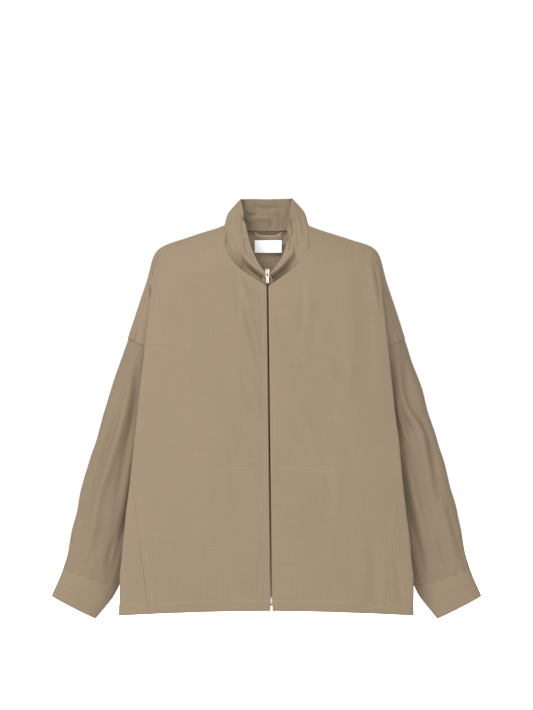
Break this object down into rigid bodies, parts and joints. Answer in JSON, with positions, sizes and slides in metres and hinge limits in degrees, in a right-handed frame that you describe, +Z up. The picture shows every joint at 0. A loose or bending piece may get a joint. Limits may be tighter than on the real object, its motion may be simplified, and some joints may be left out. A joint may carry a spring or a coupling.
{
  "type": "zip-front jacket",
  "caption": "Loose hip-length zip-front jacket with stand collar, dropped shoulders, side panels, inside pockets, buttoned cuffs and a hanging loop.",
  "frame": {"origin": "middle of the neck, level with the back neck seam, where a coat hanger's hook rises", "axes": "+Z up to the collar, -Y out of the front, +X to the right seen from the front"},
  "size_m": [0.7958, 0.1224, 0.7776],
  "materials": {
    "shell_cloth": "fine plain weave in a matt khaki taupe with faint slubs",
    "label_cloth": "smooth off-white woven satin",
    "zip_tape": "dense herringbone tape in dark brown",
    "zip_coil": "dark brown moulded coil",
    "zip_metal": "polished pale champagne plating",
    "button": "horn-like brown, softly polished"
  },
  "bodies": {
    "jacket": {"back_panel": "shell_cloth", "front_panel_left": "shell_cloth", "front_panel_right": "shell_cloth", "side_panel_left": "shell_cloth", "side_panel_right": "shell_cloth", "collar_outer": "shell_cloth", "collar_lining": "shell_cloth", "neck_label": "label_cloth", "front_facing_left": "shell_cloth", "front_facing_right": "shell_cloth", "pocket_bag_left": "shell_cloth", "pocket_bag_right": "shell_cloth", "zip_tape_left": "zip_tape", "zip_tape_right": "zip_tape", "zip_coil_left": "zip_coil", "zip_coil_right": "zip_coil", "zip_top_stop_left": "zip_metal", "zip_top_stop_right": "zip_metal", "zip_box": "zip_metal", "zip_pin": "zip_metal"},
    "left_sleeve": {"sleeve_left": "shell_cloth", "sleeve_placket_left": "shell_cloth", "cuff_left": "shell_cloth", "cuff_button_left": "button"},
    "right_sleeve": {"sleeve_right": "shell_cloth", "sleeve_placket_right": "shell_cloth", "cuff_right": "shell_cloth", "cuff_button_right": "button"},
    "slider": {"zip_slider": "zip_metal"},
    "pull": {"zip_pull": "zip_metal"},
    "loop": {"hanger_loop": "shell_cloth"}
  },
  "joints": [
    {"name": "zip_slide", "type": "slide", "parent": "jacket", "child": "slider", "axis": [0.0118, 0, -0.9999], "range_m": [0, 0.593]},
    {"name": "pull_swing", "type": "hinge", "parent": "slider", "child": "pull", "pos_m": [0.00171, -0.05575, -0.0755], "axis": [-0.9999, 0, -0.0118], "range_deg": [0, 165]},
    {"name": "loop_swing", "type": "hinge", "parent": "jacket", "child": "loop", "pos_m": [0, 0.0426, -0.0008], "axis": [-1, 0, 0], "range_deg": [0, 165]},
    {"name": "left_sleeve_swing", "type": "hinge", "parent": "jacket", "child": "left_sleeve", "pos_m": [-0.2602, 0.028, -0.1998], "axis": [0, 1, 0], "range_deg": [0, 60]},
    {"name": "right_sleeve_swing", "type": "hinge", "parent": "jacket", "child": "right_sleeve", "pos_m": [0.2602, 0.028, -0.1998], "axis": [0, -1, 0], "range_deg": [0, 60]}
  ]
}
